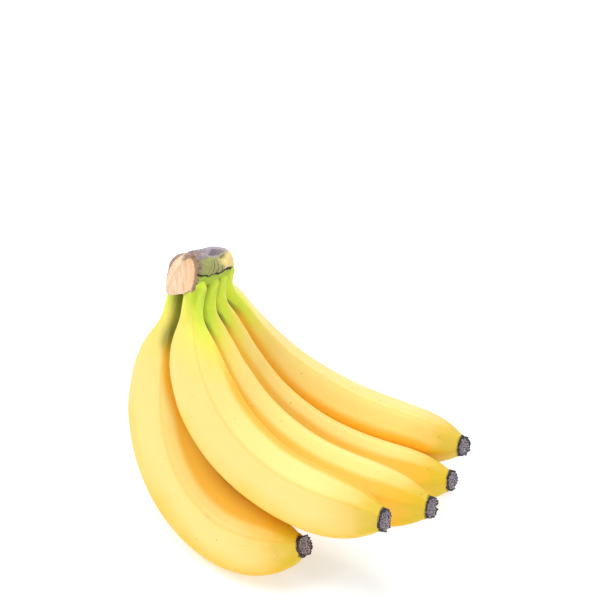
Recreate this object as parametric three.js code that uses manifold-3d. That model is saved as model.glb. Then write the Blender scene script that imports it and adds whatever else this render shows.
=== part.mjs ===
// A bunch of six bananas joined at one crown, lying on its back on a surface.
// Millimetres, +Z up, the surface is z = 0 and the bunch stands over the origin.
// A first frame, in which the bunch hangs from its crown, places every banana;
// LEAN and ROLL then lay it down.
import * as THREE from 'three';
import { mergeVertices } from 'three/addons/utils/BufferGeometryUtils.js';
import Module from 'manifold-3d';

const wasm = await Module();
wasm.setup();

// Driving dimensions
const LEAN = 18.7;          // degrees that the hanging bunch tips towards the viewer
const ROLL = 4.2;           // degrees that it turns sideways
const SWEEP = -26;          // heading of the blossom ends about +Z, in degrees
const CLEAR = 0.45;         // space between two skins, and between a neck and its socket
const DEEP = 1.03;          // section's size in the plane of the bend
const WIDE = 0.93;          // section's size across it
const RIDGES = 5;           // soft edges along a banana
const STUB = 5;             // length of a dried blossom end
const SHIFT = [-69.2, 31.3, 147.4];   // brings the laid bunch over the origin, its low bellies
                                      // pressed flat about 1 mm deep by the surface
const SIDES = 20;
const RINGS = 38;

// Half width in mm at a distance from the crown end, and at a distance from the blossom end
const HEAD = [[0, 7.0], [12, 6.2], [25, 6.6], [36, 12.0], [50, 15.6], [75, 18.4], [105, 19.0]];
const TAIL = [[0, 7.0], [6, 10.6], [14, 14.8], [28, 18.0], [45, 19.0], [60, 19.0]];
const NECK = 6.2;           // half width of the thinnest and of the thickest part in the two tables
const BODY = 19.0;
// Share of the bending at points along a banana, which is straight in its neck
const BENDING = [[0, 0.3], [0.1, 1], [0.22, 1], [0.8, 1], [1, 0.35]];
// Height of the soft edges along a banana, as a share of its half width
const RIDGE = [[0, 0.02], [0.12, 0.05], [0.25, 0.035], [0.9, 0.03], [1, 0.05]];

// at: where the neck leaves the crown; fan: lean of the neck along the crown;
// from, to: heading at both ends of the bend; late: how much of the bend is in the far half;
// swing: turn of its heading against SWEEP; fuller: mm more in half width at its thickest
const BANANAS = [
  { at: [-14, 9, -4], fan: -11, from: -12.9, to: 106.7, length: 220, late: 0.78, swing: -1, fuller: 2.6 },
  { at: [-3, -6, 5], fan: -12.9, from: -9.2, to: 90, length: 209.8, late: -0.26, swing: 4.4, fuller: 0 },
  { at: [4, 4, 5], fan: 1.8, from: -15.2, to: 88.2, length: 228.4, late: -0.59, swing: 3.6, fuller: 0 },
  { at: [8, 15, 4], fan: 17.1, from: -13.7, to: 91.2, length: 242.7, late: -0.18, swing: 8.6, fuller: 0 },
  { at: [12, 27, 3], fan: 31.5, from: -24.6, to: 87.6, length: 242.7, late: -0.45, swing: -0.5, fuller: 0 },
  { at: [-9, 22, -4], fan: 13.1, from: -33.7, to: 97.1, length: 190.3, late: 0.46, swing: -18.3, fuller: 0 },
];

// The crown from its cut end to its far end: centre, half width, half height
const CROWN = [
  { at: [-12.5, -11, 9.5], wide: 8.5, high: 12 },
  { at: [-11, -7, 9], wide: 11.5, high: 13 },
  { at: [-8, 0, 8.5], wide: 15, high: 12.5 },
  { at: [-4, 8, 7.2], wide: 17, high: 10 },
  { at: [0, 16, 6.8], wide: 17.5, high: 9.8 },
  { at: [4, 25, 5.8], wide: 16, high: 9.2 },
  { at: [7, 31, 4.8], wide: 11, high: 7.8 },
  { at: [9, 35, 4.2], wide: 5, high: 4.6 },
];
const CROWN_ACROSS = new THREE.Vector3(-0.85, 0.48, -0.22).normalize();
const CROWN_SIDES = 20;

const rad = THREE.MathUtils.degToRad;
const laid = new THREE.Matrix4().makeTranslation(...SHIFT)
  .multiply(new THREE.Matrix4().makeRotationY(rad(-ROLL)))
  .multiply(new THREE.Matrix4().makeRotationX(rad(-LEAN)));

function along(table, x) {
  if (x <= table[0][0]) return table[0][1];
  for (let i = 1; i < table.length; i += 1) {
    const [x0, y0] = table[i - 1];
    const [x1, y1] = table[i];
    if (x <= x1) return y0 + (y1 - y0) * (x - x0) / (x1 - x0);
  }
  return table[table.length - 1][1];
}

// Heading angle at every fine step along a banana, in radians
function headings(banana, steps) {
  const pace = (u) => along(BENDING, u) * (1 + banana.late * (2 * u - 1));
  const sum = [0];
  for (let i = 1; i <= steps; i += 1) {
    sum.push(sum[i - 1] + (pace((i - 1) / steps) + pace(i / steps)) / 2);
  }
  return sum.map((s) => rad(banana.from + (banana.to - banana.from) * s / sum[steps]));
}

// Centreline of a banana, laid on the surface: place, direction, and the section's two axes
function spine(banana, steps = 240) {
  const azimuth = rad(SWEEP + banana.swing);
  const sweep = new THREE.Vector3(Math.cos(azimuth), Math.sin(azimuth), 0);
  const row = new THREE.Vector3(-sweep.y, sweep.x, 0);
  const down = new THREE.Vector3(0, 0, -Math.cos(rad(banana.fan)))
    .addScaledVector(row, Math.sin(rad(banana.fan)));
  const heading = headings(banana, steps);
  const direction = (a) => down.clone().multiplyScalar(Math.cos(a)).addScaledVector(sweep, Math.sin(a));
  const inward = (a) => down.clone().multiplyScalar(-Math.sin(a)).addScaledVector(sweep, Math.cos(a));
  const place = new THREE.Vector3(...banana.at);
  const points = [];
  for (let i = 0; i <= steps; i += 1) {
    const ahead = direction(heading[i]);
    if (i > 0) {
      const step = ahead.clone().add(direction(heading[i - 1])).multiplyScalar(banana.length / steps / 2);
      place.add(step);
    }
    const hollow = inward(heading[i]).transformDirection(laid);
    const forward = ahead.transformDirection(laid);
    const far = i / steps * banana.length;
    const half = Math.min(along(HEAD, far), along(TAIL, banana.length - far));
    points.push({
      u: i / steps,
      place: place.clone().applyMatrix4(laid),
      forward,
      hollow,
      across: forward.clone().cross(hollow),
      half: half + banana.fuller * (half - NECK) / (BODY - NECK),
    });
  }
  return points;
}

const SPINES = BANANAS.map((banana) => spine(banana));

// Squared distance to a banana's skin, as if it were a chain of balls: less than 0 is inside
function reach(points, x, y, z) {
  let least = Infinity;
  for (let i = 0; i < points.length; i += 4) {
    const { place, half } = points[i];
    const d = (x - place.x) ** 2 + (y - place.y) ** 2 + (z - place.z) ** 2 - half * half;
    if (d < least) least = d;
  }
  return least;
}

// Draws a point of one banana's skin back towards its centre until its neighbours are clear
function cleared(index, centre, skin) {
  const blocked = (share) => {
    const x = centre.x + (skin.x - centre.x) * share;
    const y = centre.y + (skin.y - centre.y) * share;
    const z = centre.z + (skin.z - centre.z) * share;
    const own = reach(SPINES[index], x, y, z);
    return SPINES.some((other, i) => i !== index && own > reach(other, x, y, z) - 40 * CLEAR);
  };
  if (!blocked(1)) return skin;
  let low = 0;
  let high = 1;
  for (let i = 0; i < 12; i += 1) {
    const middle = (low + high) / 2;
    if (blocked(middle)) high = middle; else low = middle;
  }
  return centre.clone().lerp(skin, low);
}

// A closed mesh from rings of points, with a point at the middle of each end
function loft(rings, first, last) {
  const sides = rings[0].length;
  const position = [];
  const index = [];
  for (const ring of rings) for (const p of ring) position.push(p.x, p.y, p.z);
  position.push(first.x, first.y, first.z, last.x, last.y, last.z);
  const start = rings.length * sides;
  for (let j = 0; j < sides; j += 1) {
    const k = (j + 1) % sides;
    for (let i = 0; i + 1 < rings.length; i += 1) {
      const a = i * sides + j;
      const b = i * sides + k;
      index.push(a, b, b + sides, a, b + sides, a + sides);
    }
    index.push(start, k, j);
    const end = (rings.length - 1) * sides;
    index.push(start + 1, end + j, end + k);
  }
  const geometry = new THREE.BufferGeometry();
  geometry.setAttribute('position', new THREE.Float32BufferAttribute(position, 3));
  geometry.setIndex(index);
  return geometry;
}

function sectionPoint(point, angle, half, ridge) {
  const size = half * (1 + ridge * Math.cos(RIDGES * angle));
  return point.place.clone()
    .addScaledVector(point.hollow, size * DEEP * Math.cos(angle))
    .addScaledVector(point.across, size * WIDE * Math.sin(angle));
}

function bananaGeometry(index) {
  const points = SPINES[index];
  const rings = [];
  for (let i = 0; i < RINGS; i += 1) {
    const point = points[Math.round(i / (RINGS - 1) * (points.length - 1))];
    const ring = [];
    for (let j = 0; j < SIDES; j += 1) {
      const skin = sectionPoint(point, j / SIDES * 2 * Math.PI, point.half, along(RIDGE, point.u));
      const clear = cleared(index, point.place, skin);
      clear.z = Math.max(clear.z, 0);
      ring.push(clear);
    }
    rings.push(ring);
  }
  return loft(rings, points[0].place, points[points.length - 1].place);
}

// The dried remains of the flower: a rough stub with a hollow end
function stubGeometry(index) {
  const end = SPINES[index][SPINES[index].length - 1];
  const shapes = [[CLEAR, 0.93], [0.3 * STUB, 0.97], [0.75 * STUB, 0.86], [STUB, 0.8]];
  const rings = shapes.map(([far, size], i) => {
    const ring = [];
    for (let j = 0; j < 15; j += 1) {
      const angle = j / 15 * 2 * Math.PI;
      const rough = 1 + 0.05 * Math.cos(5 * angle) + 0.04 * Math.sin(7 * angle + 2 * index + i);
      const p = sectionPoint(end, angle, end.half * size * rough, 0);
      ring.push(p.addScaledVector(end.forward, far));
    }
    return ring;
  });
  const first = end.place.clone().addScaledVector(end.forward, CLEAR);
  const last = end.place.clone().addScaledVector(end.forward, STUB - 2.2);
  return loft(rings, first, last);
}

function solid(geometry) {
  const bare = geometry.clone();
  bare.deleteAttribute('normal');
  bare.deleteAttribute('uv');
  const merged = mergeVertices(bare, 1e-4);
  return new wasm.Manifold(new wasm.Mesh({
    numProp: 3,
    vertProperties: new Float32Array(merged.getAttribute('position').array),
    triVerts: new Uint32Array(merged.getIndex().array),
  }));
}

function fromSolid(body) {
  const mesh = body.getMesh();
  const geometry = new THREE.BufferGeometry();
  geometry.setAttribute('position', new THREE.BufferAttribute(new Float32Array(mesh.vertProperties), 3));
  geometry.setIndex(new THREE.BufferAttribute(new Uint32Array(mesh.triVerts), 1));
  return geometry;
}

// Room for a neck in the crown: the neck's own shape, larger by CLEAR all round
function socketGeometry(index) {
  const root = SPINES[index][0];
  const rings = [-CLEAR, 12, 26].map((far) => {
    const point = { ...SPINES[index][Math.round(Math.max(far, 0) / BANANAS[index].length * 240)] };
    if (far < 0) point.place = root.place.clone().addScaledVector(root.forward, far);
    const ring = [];
    for (let j = 0; j < SIDES; j += 1) {
      ring.push(sectionPoint(point, j / SIDES * 2 * Math.PI, point.half * 1.05 + CLEAR, 0));
    }
    return ring;
  });
  const last = SPINES[index][Math.round(26 / BANANAS[index].length * 240)].place;
  return loft(rings, root.place.clone().addScaledVector(root.forward, -CLEAR), last);
}

function crownGeometry() {
  const places = CROWN.map((station) => new THREE.Vector3(...station.at));
  const rings = CROWN.map((station, i) => {
    const before = places[Math.max(i - 1, 0)];
    const after = places[Math.min(i + 1, places.length - 1)];
    const axis = after.clone().sub(before).normalize();
    const up = CROWN_ACROSS.clone().cross(axis).normalize();
    if (up.z < 0) up.negate();
    const side = axis.clone().cross(up);
    const ring = [];
    for (let j = 0; j < CROWN_SIDES; j += 1) {
      const angle = j / CROWN_SIDES * 2 * Math.PI;
      const square = (v) => Math.sign(v) * Math.abs(v) ** 0.8;
      ring.push(places[i].clone()
        .addScaledVector(up, station.high * square(Math.cos(angle)))
        .addScaledVector(side, station.wide * square(Math.sin(angle)))
        .applyMatrix4(laid));
    }
    return ring;
  });
  const middle = (i) => places[i].clone().applyMatrix4(laid);
  let body = solid(loft(rings, middle(0), middle(places.length - 1)));
  if (body.volume() < 0) throw new Error('the crown is inside out');
  for (let i = 0; i < BANANAS.length; i += 1) body = body.subtract(solid(socketGeometry(i)));
  return fromSolid(body);
}

const SKIN = new THREE.MeshStandardMaterial({ color: 0xf4d648, roughness: 0.5, metalness: 0 });
const DRY = new THREE.MeshStandardMaterial({ color: 0x55464d, roughness: 0.9, metalness: 0 });
const CUT = new THREE.MeshStandardMaterial({ color: 0xb09a62, roughness: 0.85, metalness: 0 });

const bunch = new THREE.Group();
function add(name, geometry, material) {
  geometry.computeVertexNormals();
  const mesh = new THREE.Mesh(geometry, material.clone());
  mesh.name = name;
  bunch.add(mesh);
}

add('crown', crownGeometry(), CUT);
for (let i = 0; i < BANANAS.length; i += 1) {
  add(`banana_${i + 1}`, bananaGeometry(i), SKIN);
  add(`blossom_end_${i + 1}`, stubGeometry(i), DRY);
}

export default bunch;
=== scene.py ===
"""The looks of a bunch of six bananas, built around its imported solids.

Everything is in metres in the part's own frame: +Z up, and the bunch lies on z = 0. A first frame,
in which the bunch hangs from its crown, places every banana, and Laying then lays it down.
"""

import logging
import math
from dataclasses import dataclass, field
from enum import Enum
from typing import Sequence, Union

import bpy
import numpy as np
from mathutils import Matrix, Vector


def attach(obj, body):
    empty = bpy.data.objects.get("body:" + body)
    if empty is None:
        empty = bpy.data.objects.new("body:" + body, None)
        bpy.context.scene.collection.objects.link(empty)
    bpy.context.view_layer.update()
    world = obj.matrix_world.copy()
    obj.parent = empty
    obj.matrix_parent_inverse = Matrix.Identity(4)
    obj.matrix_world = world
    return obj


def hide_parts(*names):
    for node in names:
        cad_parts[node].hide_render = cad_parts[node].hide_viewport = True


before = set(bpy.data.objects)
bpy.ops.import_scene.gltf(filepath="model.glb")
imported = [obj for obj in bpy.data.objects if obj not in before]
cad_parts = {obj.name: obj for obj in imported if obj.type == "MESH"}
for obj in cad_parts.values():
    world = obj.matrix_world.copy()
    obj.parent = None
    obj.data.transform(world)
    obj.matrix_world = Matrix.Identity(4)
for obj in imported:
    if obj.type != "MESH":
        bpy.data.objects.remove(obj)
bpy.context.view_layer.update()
LOG = logging.getLogger("bunch_of_bananas")

Table = Sequence[tuple[float, float]]
Colour = tuple[float, float, float]
Point = tuple[float, float, float]
Span = tuple[float, float]
Material = bpy.types.Material
Socket = bpy.types.NodeSocket
Feed = Union[Socket, float, tuple[float, ...]]


class Slot(Enum):
    """The record's material slots."""

    PEEL = "peel"
    DRY_END = "dry_end"
    CROWN = "crown_cut"


def along(table: Table, x: np.ndarray) -> np.ndarray:
    """Reads a table of (place, value) pairs at x, with straight lines between its pairs."""
    places, values = zip(*table)
    return np.interp(x, places, values)


def smooth_step(low: float, high: float, x: np.ndarray) -> np.ndarray:
    """0 below low, 1 above high, and a smooth rise between them."""
    share = np.clip((x - low) / (high - low), 0.0, 1.0)
    return share * share * (3 - 2 * share)


def bell(x: np.ndarray, centre: float, width: float) -> np.ndarray:
    """1 at centre, and falling off smoothly over width to both sides."""
    return np.exp(-(((x - centre) / width) ** 2))


def angles_round(sides: int) -> np.ndarray:
    """Even angles round a section with so many sides."""
    return np.arange(sides) / sides * 2 * math.pi


def squarer(wave: np.ndarray, power: float) -> np.ndarray:
    """Swells a sine or a cosine with a power below 1, so that a round section grows squarer."""
    return np.sign(wave) * np.abs(wave) ** power


def unit_rows(vectors: np.ndarray) -> np.ndarray:
    """The same directions with length 1."""
    return vectors / np.linalg.norm(vectors, axis=-1)[..., None]


def ripples(seed: int, points: np.ndarray, pitch: float, waves: int = 9) -> np.ndarray:
    """A smooth random field at some points, from about -1 to 1.

    Args:
        seed: picks the field.
        points: places, one row each.
        pitch: the usual length of its waves, in the points' own unit.
        waves: how many plane waves are summed.

    Returns:
        One value for each row of points.
    """
    shortest, longest, usual_peak = 0.6, 1.7, 1.6
    draw = np.random.default_rng(seed)
    total = np.zeros(len(points))
    for _ in range(waves):
        direction = draw.normal(size=3)
        direction /= np.linalg.norm(direction)
        length = pitch * draw.uniform(shortest, longest)
        total += np.sin(points @ direction * (2 * math.pi / length) + draw.uniform(0, 2 * math.pi))
    return total / math.sqrt(waves * 0.5) / usual_peak


@dataclass(frozen=True)
class Relief:
    """A random relief: its pitch, its height, and the share by which it swells a section."""

    pitch: float
    height: float
    swell: float = 0.0


@dataclass(frozen=True)
class Laying:
    """How the hanging bunch is laid on the surface: its tilts in degrees, then its shift."""

    lean: float = 18.7
    roll: float = 4.2
    shift: Point = (-0.0692, 0.0313, 0.1474)

    def matrix(self) -> Matrix:
        """Works out the change of frame.

        Returns:
            The matrix from the hanging frame to the part's frame.
        """
        turned = Matrix.Rotation(math.radians(-self.roll), 4, "Y")
        tipped = Matrix.Rotation(math.radians(-self.lean), 4, "X")
        return Matrix.Translation(self.shift) @ turned @ tipped

    def directions(self, hanging: np.ndarray) -> np.ndarray:
        """Turns directions, one a row, from the hanging frame to the part's."""
        return hanging @ np.array(self.matrix())[:3, :3].T

    def places(self, hanging: np.ndarray) -> np.ndarray:
        """Moves places, one a row, from the hanging frame to the part's."""
        return self.directions(hanging) + np.array(self.matrix())[:3, 3]


@dataclass(frozen=True)
class Growth:
    """What all the bananas share.

    Attributes:
        head: half widths at distances from the crown end.
        tail: half widths at distances from the blossom end, used where they are the smaller.
        neck: half width of a neck.
        body: half width of a body at its thickest.
        bending: how strongly a banana bends, at shares of its length.
        ridge: how far its five soft edges stand out, at shares of its length.
        sweep: the way that the blossom ends point, in degrees round the upright.
        deep: depth of a section against its half width.
        wide: width of a section against its half width.
        softening: length over which the corners of head and tail are rounded.
        edge_rounding: angle over which an edge is rounded, in degrees.
        uneven: share of the half width by which a body is uneven.
        uneven_pitch: pitch of that unevenness.
        uneven_along: its pace along the banana, against round it.
        uneven_from: where it starts and where it is full, from the crown end.
        neck_shoulder: share by which the skin draws in at its crown end.
        neck_rounding: length over which it does.
        tip_seat: half width of the skin's far end against the dry end that stands in it.
        tip_rounding: length over which the skin draws in to that.
        apart: usual distance between the centrelines of two neighbours.
        gap: gap between two skins that are pressed flat.
        body_shade_reach: how far from a neighbour a body still gets painted shade.
        nook_change: where a banana's own reach of painted shade gives way to that of its body, from the
            crown end.
        green_uneven: how much farther the green reaches on its greenest side.
        painted_shade_band: cosines, from a banana's side of painted shade, at which its deep yellow
            starts and is full.
        painted_light_way: the way in the part's frame that a peel faces where painted light makes it
            palest.
        seed: picks the unevenness, with a banana's number added.
        rings: rings of points along a skin.
        sides: points in each ring.
    """

    head: Table = (
        (0.0, 0.0070), (0.012, 0.0062), (0.025, 0.0066), (0.036, 0.0120),
        (0.050, 0.0156), (0.075, 0.0184), (0.105, 0.0190),
    )
    tail: Table = (
        (0.0, 0.0070), (0.006, 0.0106), (0.014, 0.0148),
        (0.028, 0.0180), (0.045, 0.0190), (0.060, 0.0190),
    )
    neck: float = 0.0062
    body: float = 0.0190
    bending: Table = ((0.0, 0.3), (0.1, 1.0), (0.22, 1.0), (0.8, 1.0), (1.0, 0.35))
    ridge: Table = ((0.0, 0.02), (0.10, 0.05), (0.25, 0.075), (0.85, 0.07), (1.0, 0.06))
    sweep: float = -26.0
    deep: float = 1.03
    wide: float = 0.93
    softening: float = 0.0042
    edge_rounding: float = 5.0
    uneven: float = 0.010
    uneven_pitch: float = 0.026
    uneven_along: float = 0.45
    uneven_from: Span = (0.03, 0.08)
    neck_shoulder: float = 0.32
    neck_rounding: float = 0.004
    tip_seat: float = 0.95
    tip_rounding: float = 0.006
    apart: float = 0.040
    gap: float = 0.00015
    body_shade_reach: float = 0.013
    nook_change: Span = (0.022, 0.046)
    green_uneven: float = 0.75
    painted_shade_band: Span = (0.48, 0.82)
    painted_light_way: Point = (-0.20, -0.26, 0.94)
    seed: int = 10
    rings: int = 200
    sides: int = 80


@dataclass
class Spine:
    """A banana's centreline: one row for each ring of its skin.

    Attributes:
        far: distance from the crown end.
        place: the ring's centre.
        forward: the way along the banana.
        hollow: the way to the inside of its bend.
        across: the way across the bend.
        half: half width.
    """

    far: np.ndarray
    place: np.ndarray
    forward: np.ndarray
    hollow: np.ndarray
    across: np.ndarray
    half: np.ndarray


@dataclass
class Banana:
    """One banana and the dry end of its flower.

    Attributes:
        number: its number in the frame's node names.
        at: where its neck leaves the crown, in the hanging frame.
        fan: lean of its neck along the crown, in degrees.
        start: heading at its crown end, in degrees.
        finish: heading at its blossom end.
        length: along its centreline.
        late: how much of its bend is in the far half.
        swing: its own turn away from the bunch's sweep.
        fuller: how much more half width it has at its thickest.
        turn: turn of its soft edges about its length.
        green: how far the green of the neck reaches.
        green_side: angle round the neck, in degrees, where it is greenest.
        painted_shade_side: angle round the section, in degrees, where painted shade makes its peel
            deepest yellow.
        painted_nook_shade: how far from a neighbour its neck still gets painted shade.
        stub: size of its dry end, against the fruit's own tip.
        growth: what it shares with the other bananas.
        spine: its centreline, once it has grown.
    """

    number: int
    at: Point
    fan: float
    start: float
    finish: float
    length: float
    late: float
    swing: float
    fuller: float = 0.0
    turn: float = 0.0
    green: float = 0.034
    green_side: float = 200.0
    painted_shade_side: float = 150.0
    painted_nook_shade: float = 0.006
    stub: float = 0.95
    growth: Growth = Growth()
    spine: Spine = field(init=False)

    def grow(self, laying: Laying) -> None:
        """Works out the centreline and lays it down with the bunch.

        Args:
            laying: how the bunch lies.
        """
        growth, rings = self.growth, self.growth.rings
        azimuth, fan = math.radians(growth.sweep + self.swing), math.radians(self.fan)
        sweep = np.array([math.cos(azimuth), math.sin(azimuth), 0.0])
        row = np.array([-sweep[1], sweep[0], 0.0])
        down = np.array([0.0, 0.0, -math.cos(fan)]) + row * math.sin(fan)
        share = np.linspace(0.0, 1.0, rings)
        pace = along(growth.bending, share) * (1 + self.late * (2 * share - 1))
        turned = np.concatenate([[0.0], np.cumsum((pace[1:] + pace[:-1]) / 2)])
        heading = np.radians(self.start + (self.finish - self.start) * turned / turned[-1])
        forward = np.outer(np.cos(heading), down) + np.outer(np.sin(heading), sweep)
        hollow = np.outer(-np.sin(heading), down) + np.outer(np.cos(heading), sweep)
        steps = (forward[1:] + forward[:-1]) / 2 * self.length / (rings - 1)
        place = np.array(self.at) + np.vstack([np.zeros(3), np.cumsum(steps, axis=0)])
        forward, hollow = laying.directions(forward), laying.directions(hollow)
        self.spine = Spine(
            share * self.length, laying.places(place), forward, hollow,
            np.cross(forward, hollow), self.half_widths(share * self.length),
        )

    def half_widths(self, far: np.ndarray) -> np.ndarray:
        """Reads the tables of half widths without their corners.

        Args:
            far: distances from the crown end.

        Returns:
            A half width for each distance.
        """
        growth, samples = self.growth, 31
        reach = 3 * growth.softening
        offsets = np.linspace(-reach, reach, samples)
        weights = bell(offsets, 0.0, growth.softening * math.sqrt(2))
        spread = np.clip(far[:, None] + offsets[None], 0.0, self.length)
        raw = np.minimum(along(growth.head, spread), along(growth.tail, self.length - spread))
        even = raw @ weights / weights.sum()
        return even + self.fuller * (even - growth.neck) / (growth.body - growth.neck)

    def squared_reach(self, points: np.ndarray) -> np.ndarray:
        """Measures how far some points are from this banana, as if it were a chain of balls.

        Args:
            points: places, one row each.

        Returns:
            The least squared distance to a ball's centre, less its squared radius.
        """
        every = 4
        balls, halves = self.spine.place[::every], self.spine.half[::every]
        least = np.full(len(points), np.inf)
        for ball, half in zip(balls, halves):
            away = points - ball
            np.minimum(least, np.einsum("ij,ij->i", away, away) - half * half, out=least)
        return least

    def edges(self, angle: np.ndarray) -> np.ndarray:
        """Shapes the five soft edges.

        Args:
            angle: angles round the section.

        Returns:
            The section's height at each angle, from -1 on a flat side to 1 on an edge.
        """
        fifth = 2 * math.pi / 5
        offset = (angle - math.radians(self.turn) + fifth / 2) % fifth - fifth / 2
        round_off = math.radians(self.growth.edge_rounding)
        offset = np.sqrt(offset ** 2 + round_off ** 2) - round_off
        flat = math.cos(fifth / 2)
        return (flat / np.cos(fifth / 2 - offset) - (1 + flat) / 2) / ((1 - flat) / 2)

    def section(self) -> tuple[np.ndarray, np.ndarray]:
        """Makes the skin as it is before its neighbours press on it.

        Returns:
            The rings' points, and the same points as on a straightened banana.
        """
        growth, spine = self.growth, self.spine
        angle = angles_round(growth.sides)
        ridge = along(growth.ridge, spine.far / self.length)[:, None]
        straight = np.stack([
            spine.half[:, None] * np.cos(angle)[None],
            spine.half[:, None] * np.sin(angle)[None],
            np.repeat(spine.far[:, None], growth.sides, axis=1),
        ], axis=-1)
        paced = straight.reshape(-1, 3) * np.array([1.0, 1.0, growth.uneven_along])
        uneven = ripples(growth.seed + self.number, paced, growth.uneven_pitch)
        uneven = uneven.reshape(straight.shape[:2])
        uneven = uneven * smooth_step(*growth.uneven_from, spine.far)[:, None]
        factor = 1 + ridge * self.edges(angle)[None] + growth.uneven * uneven
        neck_end = 1 - smooth_step(0.0, growth.neck_rounding, spine.far)
        tip_end = 1 - smooth_step(0.0, growth.tip_rounding, self.length - spine.far)
        seat = growth.tip_seat * self.stub
        shoulder = 1 - growth.neck_shoulder * neck_end - (1 - seat) * tip_end
        size = (spine.half * shoulder)[:, None] * factor
        rings = (
            spine.place[:, None]
            + (size * growth.deep * np.cos(angle))[..., None] * spine.hollow[:, None]
            + (size * growth.wide * np.sin(angle))[..., None] * spine.across[:, None]
        )
        return rings, straight

    def pressed(self, rings: np.ndarray, others: Sequence["Banana"]) -> np.ndarray:
        """Draws the skin back where its neighbours and the surface press on it.

        Args:
            rings: the free skin's points.
            others: the other bananas of the bunch.

        Returns:
            The pressed skin's points.
        """
        widest, softness, halvings = 1.4, 0.02, 11
        skin = rings.reshape(-1, 3)
        centre = np.repeat(self.spine.place, self.growth.sides, axis=0)
        margin = self.growth.apart * self.growth.gap

        def blocked(share: np.ndarray, rows: np.ndarray) -> np.ndarray:
            """Tells which points, moved in or out, would lie on a neighbour's side.

            Args:
                share: where each one is moved, from the centreline at 0 to the free skin at 1.
                rows: the points' rows in the skin.

            Returns:
                Whether each of them lies nearer to another banana than to this one.
            """
            points = centre[rows] + (skin[rows] - centre[rows]) * share[:, None]
            own = self.squared_reach(points)
            over = np.zeros(len(rows), bool)
            for other in others:
                over |= own > other.squared_reach(points) - margin
            return over

        every = np.arange(len(skin))
        rows = every[blocked(np.full(len(skin), widest), every)]
        low, high = np.zeros(len(rows)), np.full(len(rows), widest)
        for _ in range(halvings):
            middle = (low + high) / 2
            over = blocked(middle, rows)
            high = np.where(over, middle, high)
            low = np.where(over, low, middle)
        free = np.full(len(skin), widest)
        free[rows] = low
        share = -softness * np.logaddexp(-1.0 / softness, -free / softness)
        moved = centre + (skin - centre) * share[:, None]
        moved[:, 2] = np.maximum(moved[:, 2], 0.0)
        return moved.reshape(rings.shape)

    def shaded(self, rings: np.ndarray, others: Sequence["Banana"]) -> np.ndarray:
        """Finds the nooks between this banana and its neighbours, which get painted shade.

        Args:
            rings: the free skin's points.
            others: the other bananas of the bunch.

        Returns:
            How close each point is to a neighbour, from 0 to 1, which is how deep its painted shade is.
        """
        growth, spine = self.growth, self.spine
        near = np.min([other.squared_reach(rings.reshape(-1, 3)) for other in others], axis=0)
        near /= 2 * np.repeat(spine.half, growth.sides)
        on_body = smooth_step(*growth.nook_change, spine.far)
        spread = self.painted_nook_shade + (growth.body_shade_reach - self.painted_nook_shade) * on_body
        near /= np.repeat(spread, growth.sides)
        return 1 - smooth_step(0.0, 1.0, near)

    def build(self, others: Sequence["Banana"], peel: Material) -> bpy.types.Object:
        """Makes the skin as one closed mesh, with all that its peel reads from it.

        Args:
            others: the other bananas of the bunch.
            peel: the finish.

        Returns:
            The skin, in place of the banana's solid.
        """
        growth = self.growth
        free, straight = self.section()
        rings = self.pressed(free, others)
        angle = np.tile(angles_round(growth.sides), growth.rings)
        far = straight[..., 2].ravel()
        out = unit_rows(rings - self.spine.place[:, None])
        greener = np.cos(angle - math.radians(self.green_side))
        painted_shade_side = np.cos(angle - math.radians(self.painted_shade_side))
        first, last = self.spine.place[0], self.spine.place[-1]
        skin = Shell(f"banana_{self.number}_skin", rings, first, last)
        skin.vector("straight", straight.reshape(-1, 3))
        skin.number("from_crown", far)
        skin.number("from_tip", self.length - far)
        skin.number("ripeness", self.green * (1 + growth.green_uneven * greener))
        skin.number("edge", self.edges(angle))
        # painted shade: how deep in a neighbour's nook each point lies
        skin.number("painted_nook_shade", self.shaded(free, others))
        # painted light: how far each point faces the way of the painted light
        skin.number("painted_light", (out @ np.array(growth.painted_light_way)).ravel())
        # painted shade: a band of deeper yellow round one side of the section
        skin.number("painted_shade_side", smooth_step(*growth.painted_shade_band, painted_shade_side))
        return skin.dressed(peel, Slot.PEEL, f"banana_{self.number}")

    def build_end(self, dry: Material, front: np.ndarray) -> bpy.types.Object:
        """Makes the dried blossom end, a rough stub broken off obliquely towards the front."""
        return BlossomEnd(self.number, self.spine, front, self.stub).build(dry)


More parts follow.
